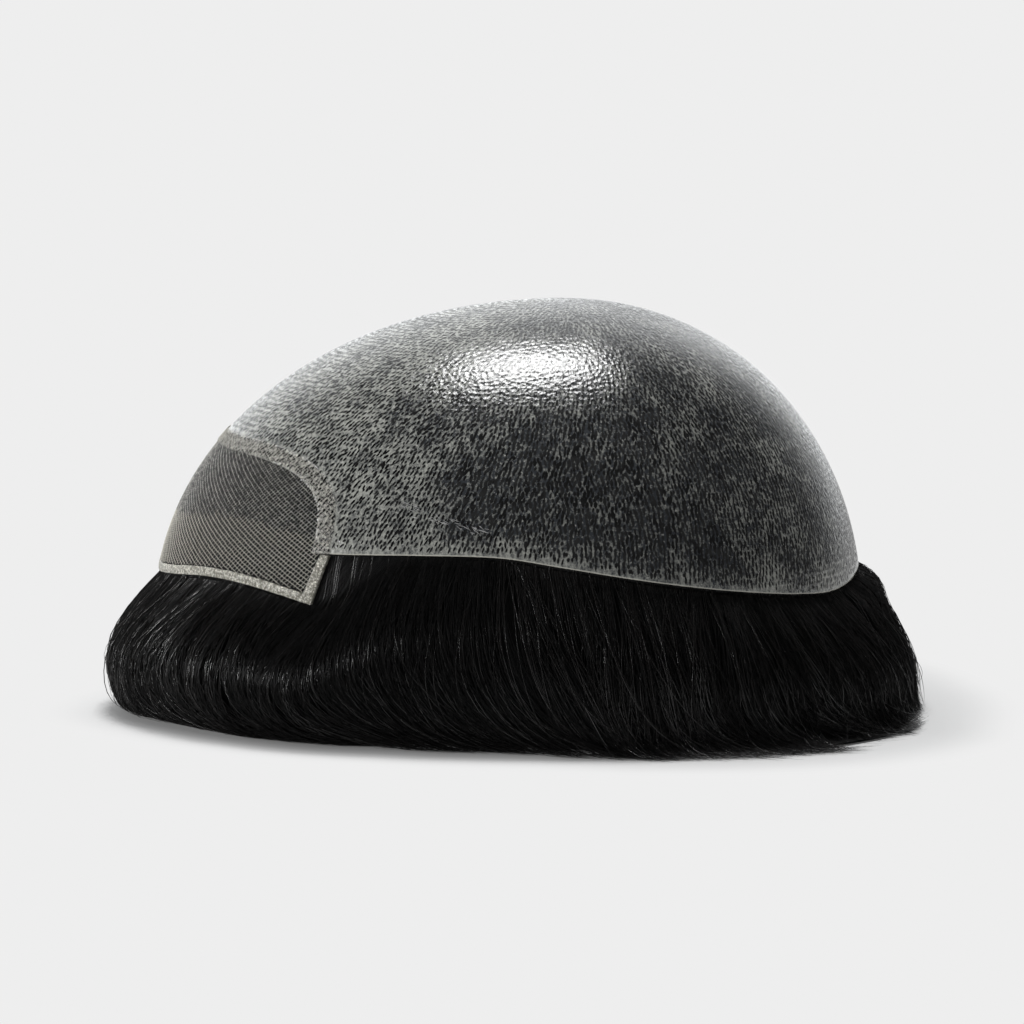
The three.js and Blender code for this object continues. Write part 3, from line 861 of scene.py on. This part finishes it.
def strands_of_lock(side, index):
    """Paths, radii and tones of the strands of one lock, gathered in clumps."""
    count, steps = STRANDS_PER_LOCK, STRAND_STEPS
    root = lerp(FIRST_LOCK, LAST_LOCK, index / (LOCKS_PER_SIDE - 1))
    overlap = LOCK_OVERLAP * (1 if index % 2 else -1)
    clump = rng.integers(0, CLUMPS_PER_LOCK, count)
    clump_at = (np.arange(CLUMPS_PER_LOCK) + 0.5) / CLUMPS_PER_LOCK * 2 - 1
    clump_at = clump_at + rng.normal(0, 0.05, CLUMPS_PER_LOCK)
    clump_depth = rng.uniform(0, CLUMP_DEPTH, CLUMPS_PER_LOCK)
    clump_lean = rng.normal(0, 1.8, CLUMPS_PER_LOCK) + rng.normal(0, 1.5)
    clump_sweep = rng.normal(0, 3, CLUMPS_PER_LOCK) + rng.normal(0, 2.5)
    own = rng.uniform(-1, 1, count) / CLUMPS_PER_LOCK
    end = 1.0 - 0.16 * rng.random(count) ** 2
    s = np.linspace(0, 1, steps) * end[:, None]
    spread = 0.85 + 0.15 * smoothstep(s, 0, 0.4) - 0.3 * smoothstep(s, 0.5, 1)
    gather = 1.5 - 0.9 * smoothstep(s, 0.1, 0.9)
    beside = clump_at[clump][:, None] + own[:, None] * gather
    lean = read_table(ROLL, LEAN, root) + clump_lean[clump] + rng.normal(0, 1.2, count)
    sweep = read_table(ROLL, SWEEP, root) + clump_sweep[clump] + rng.normal(0, 2.2, count)
    half = np.degrees(LOCK_WIDTH / 2 / ROLL_RADIUS)
    turn = root + 4 * lean[:, None] * s * (1 - s) + sweep[:, None] * s**SWING
    turn = side * turn + beside * spread * half
    down = np.sin(np.pi / 2 * s)
    crown = 0.5 * LOCK_THICKNESS * (1 - np.sqrt(1 - 0.75 * np.clip(beside, -1, 1) ** 2))
    sunk = 0.25 * LOCK_THICKNESS * (1 - smoothstep(s, 0, 0.25))
    layer = rng.random(count) ** 1.5 * LAYER_DEPTH
    loose = wander(count, steps, 0.0005)
    depth = 0.0004 + overlap + crown + sunk + (layer + clump_depth[clump])[:, None] + loose
    lifted = np.exp(-(((root - 130) / 22) ** 2)) * rng.random(count) ** 3
    paths = roll_point(turn, down, depth)
    paths = paths + outwards(paths) * (shoulder(root, s) + tip_flick(root, s))[..., None]
    thin = np.minimum(1, 3.2 * (1.02 - np.linspace(0, 1, steps)))
    radius = rng.uniform(*STRAND_RADIUS, count)[:, None] * thin
    least = 0.0001 + 0.0006 * layer[:, None] / LAYER_DEPTH
    least = least + 0.003 * lifted[:, None] * smoothstep(s, 0.9, 1)
    paths[..., 2] = np.maximum(paths[..., 2], radius + least)
    tone = rng.random(count) ** 2
    return paths, radius, tone


def wander(count, steps, size):
    """A slow random drift along each strand, nothing at its root."""
    s = np.linspace(0, 1, steps)
    waves = rng.uniform(0.6, 2.2, (count, 1))
    phases = rng.uniform(0, 2 * np.pi, (count, 1))
    heights = rng.normal(0, size, (count, 1))
    swing = np.sin(2 * np.pi * waves * s + phases) - np.sin(phases) * (1 - s)
    return heights * swing * smoothstep(s, 0, 0.3)


def loose_hairs(material):
    """Single hairs over the locks. A share fills the corner behind the lace, and a few stand off."""
    count, steps = LOOSE_HAIRS, LOOSE_STEPS
    corner = rng.random((count, 1)) < CORNER_SHARE
    side = rng.choice((-1, 1), (count, 1))
    root = np.where(corner, rng.uniform(35, 66, (count, 1)), rng.uniform(0, 180, (count, 1)))
    end = np.where(corner, rng.uniform(0.25, 0.9, (count, 1)), rng.uniform(0.6, 1, (count, 1)))
    s = lerp(-LEAD, end, np.linspace(0, 1, steps))
    up = np.clip(-s / LEAD, 0, 1)
    on = np.clip(s, 0, 1)
    lean = read_table(ROLL, LEAN, root)
    sweep = read_table(ROLL, SWEEP, root)
    stray = 6 + 7 * smoothstep(root, 105, 140)
    drift = stray * (rng.normal(0, 1, (count, 1)) * on + rng.normal(0, 0.8, (count, 1)) * on**2)
    turn = root + 4 * lean * on * (1 - on) + sweep * on**SWING + drift
    turn = side * (turn + np.where(corner, rng.uniform(2, 9, (count, 1)), 0) * up)
    stand = rng.exponential(1.0, (count, 1)) ** 2 * 0.0002
    stand = np.minimum(stand, lerp(0.0004, 0.0013, smoothstep(root, 30, 80)))
    stand = stand * smoothstep(on, 0, 0.4) * (1 - 0.8 * smoothstep(on, 0.75, 1))
    depth = 0.0003 - stand + wander(count, steps, 0.0003)
    edge = hair_edge(turn)
    top = np.minimum(skin_rim(turn) - 0.002, edge)
    lying = head_point(turn, lerp(edge, top, up), -BASE_UNDERSIDE + 0.0001)
    rolled = roll_point(turn, np.sin(np.pi / 2 * on), depth)
    rolled = rolled + outwards(rolled) * (shoulder(root, on) + tip_flick(root, on))[..., None]
    paths = np.where((s < 0)[..., None], lying, rolled)
    paths[..., 2] = np.maximum(paths[..., 2], OFF_TABLE)
    thin = np.minimum(1, 3.2 * (1.02 - np.linspace(0, 1, steps)))
    radius = rng.uniform(*LOOSE_RADIUS, (count, 1)) * thin
    points, quads = tubes(paths, radius, 3)
    # Painted shade: the hairs in the corner behind the lace get a darker, duller tone, standing in
    # for the shade they lie in.
    tone = rng.random(count) * np.where(corner[:, 0], 0.3, 1)
    values = {"tone": np.repeat(tone, 3 * steps)}
    mesh_piece("loose_hairs", points, [quads], material, "hair", values)


def shoulder(root, s):
    """How far the hair stands out: down the whole roll in front, just under the rim at the back."""
    root = np.abs(np.reshape(root, (-1, 1)))
    at_front = 1 - smoothstep(root, 12, 50)
    at_back = smoothstep(root, 140, 170)
    out = SHOULDER_OUT * smoothstep(s, 0, 0.04) * np.exp(-(((s - 0.06) / 0.09) ** 2))
    drawn_in = BACK_DRAWN_IN * np.exp(-(((s - 0.4) / 0.15) ** 2))
    in_front = FRONT_OUT * np.sin(np.pi * np.clip(s, 0, 1))
    return at_back * (out - drawn_in) + at_front * in_front


def tip_flick(root, s):
    """How far the tips flick out over the table, of one hair a row."""
    root = np.reshape(root, (-1, 1))
    most = read_table(TIPS, SHARE, root) * rng.uniform(0.5, 1.15, (len(s), 1))
    return most * smoothstep(s, 0.72, 1)


def hair_strands(material):
    """The strands of all the locks, as four pieces."""
    quarters = [(side, half) for side in (-1, 1) for half in (0, 1)]
    middle = (LOCKS_PER_SIDE + 1) // 2
    for number, (side, half) in enumerate(quarters):
        indices = range(middle) if half == 0 else range(middle, LOCKS_PER_SIDE)
        locks = [strands_of_lock(side, index) for index in indices]
        paths, radii, tones = (np.concatenate(part) for part in zip(*locks))
        points, quads = tubes(paths, radii, 3)
        values = {"tone": np.repeat(tones, 3 * STRAND_STEPS)}
        mesh_piece(f"hair_strands_{number + 1}", points, [quads], material, "hair", values)


def from_camera(right, up, ahead):
    """A direction in the room, from its parts to the right, up and ahead as the photo sees them."""
    azimuth = np.radians(CAMERA_AZIMUTH)
    across = Vector((np.cos(azimuth), np.sin(azimuth), 0))
    onwards = Vector((-np.sin(azimuth), np.cos(azimuth), 0))
    return (across * right + onwards * ahead + Vector((0, 0, up))).normalized()


def add_camera():
    elevation = np.radians(CAMERA_ELEVATION)
    back = from_camera(0, np.sin(elevation), -np.cos(elevation))
    camera = bpy.data.objects.new("camera", bpy.data.cameras.new("camera"))
    camera.data.lens = CAMERA_LENS
    camera.data.sensor_width = 36
    camera.data.clip_start = 0.01
    camera.location = CAMERA_TARGET + back * CAMERA_DISTANCE
    camera.rotation_euler = back.to_track_quat("Z", "Y").to_euler()
    bpy.context.scene.collection.objects.link(camera)
    bpy.context.scene.camera = camera


def add_softbox(name, aim, direction, distance, size, radiance):
    """A rectangular light that faces the aim from a direction."""
    light = bpy.data.lights.new(name, "AREA")
    light.shape = "RECTANGLE"
    light.size, light.size_y = size
    light.energy = radiance * np.pi * size[0] * size[1]
    away = Vector(direction).normalized()
    lamp = bpy.data.objects.new(name, light)
    lamp.location = Vector(aim) + away * distance
    lamp.rotation_euler = away.to_track_quat("Z", "Y").to_euler()
    bpy.context.scene.collection.objects.link(lamp)


def add_world():
    """A studio that is bright behind the part, most to its left, and dim elsewhere."""
    world = bpy.data.worlds.new("studio")
    world.use_nodes = True
    bpy.context.scene.world = world
    n = Nodes(world.node_tree)
    direction = n.add("TexCoord").outputs["Generated"]
    sideways = n.dot(direction, from_camera(1, 0, 0))
    ahead = n.dot(direction, from_camera(0, 0, 1))
    left = n.math("MULTIPLY", n.ramp(sideways, -1.0, -0.5), n.ramp(sideways, 0.7, 0.15))
    left = n.math("MULTIPLY", left, n.ramp(ahead, 0.3, 0.8, 0, STUDIO_LEFT))
    right = n.ramp(ahead, 0.45, 0.85, 0, STUDIO_RIGHT)
    right = n.math("MULTIPLY", n.ramp(sideways, 0.1, 0.35), right)
    strength = n.math("ADD", n.math("ADD", left, right), STUDIO_DIM)
    lit = n.add("Background", {"Color": (0.97, 0.99, 1, 1), "Strength": strength})
    plain = n.add("Background", {"Color": (1, 1, 1, 1), "Strength": BACKDROP})
    seen = n.add("LightPath").outputs["Is Camera Ray"]
    mix = n.add("MixShader", {0: seen, 1: lit.outputs[0], 2: plain.outputs[0]})
    n.set(n.tree.nodes["World Output"].inputs["Surface"], mix.outputs[0])


def floor_material():
    """A pale table that takes the part's shadow and fades into the backdrop."""
    m = Material("table")
    near = m.attribute("near")
    albedo = m.math("MULTIPLY", near, FLOOR_ALBEDO)
    glow = m.math("SUBTRACT", BACKDROP, m.math("MULTIPLY", near, FLOOR_LIT))
    white = (1, 1, 1, 1)
    black = (0, 0, 0, 1)
    colour = m.mix(albedo, black, white)
    return m.finish(
        Base_Color=colour, Roughness=1.0, Specular_IOR_Level=0.0, Emission_Color=white,
        Emission_Strength=glow,
    )


def add_floor():
    """A round table of rings about the foot of the hair, which mark how near it they are."""
    turn = np.linspace(-180, 180, 121)[1:]
    foot = roll_point(turn, 1.0, 0)
    out = np.array([-0.05, -0.02, 0, 0.004, 0.008, 0.012, 0.016, 0.02, 0.024, 0.05, 0.12, 6])
    rings = foot + outwards(foot) * out[:, None, None]
    rings[..., 2] = 0
    near = np.broadcast_to(1 - smoothstep(out, *SHADOW_REACH)[:, None], rings.shape[:2])
    points = np.concatenate((((0, 0, 0),), rings.reshape(-1, 3)))
    columns = np.arange(len(turn))
    middle = np.stack((np.zeros_like(columns), 1 + columns, 1 + (columns + 1) % len(turn)), -1)
    quads = grid_faces(len(out), len(turn), 1, wrap_columns=True)
    values = {"near": np.append(1, near.ravel())}
    smooth_mesh("table", points, [quads, middle], floor_material(), values)


add_camera()
add_world()
add_floor()
above = from_camera(-0.01, 0.97, 0.25)
beside = from_camera(-0.9, 0.22, -0.36)
add_softbox("top_softbox", (0.042, -0.006, 0.09), above, 1.0, (0.38, 0.34), TOP_LIGHT)
add_softbox("left_softbox", (0.07, -0.03, 0.03), beside, 1.4, (0.7, 0.3), LEFT_LIGHT)
bpy.context.scene.view_settings.view_transform = "Standard"

skin_shell(skin_material())
hair_roots(root_material())
band("lace_seam_band", seam_path, SEAM_WIDTH, seam_material(), "lace_seam")
band("binding_tape", binding_path, TAPE_SHOWN, binding_material(), "front_binding")
# Resin beads, near white partly as painted glints.
seam_beads(resin_material("resin_bead", 0.88, 0.15))
# Raised creases, pale as a painted highlight.
crease_glints(resin_material("crease_glint", 0.5, 0.3))
lace_net(net_material())
hair_mass(mass_material())
strand = strand_material()
hair_strands(strand)
loose_hairs(strand)
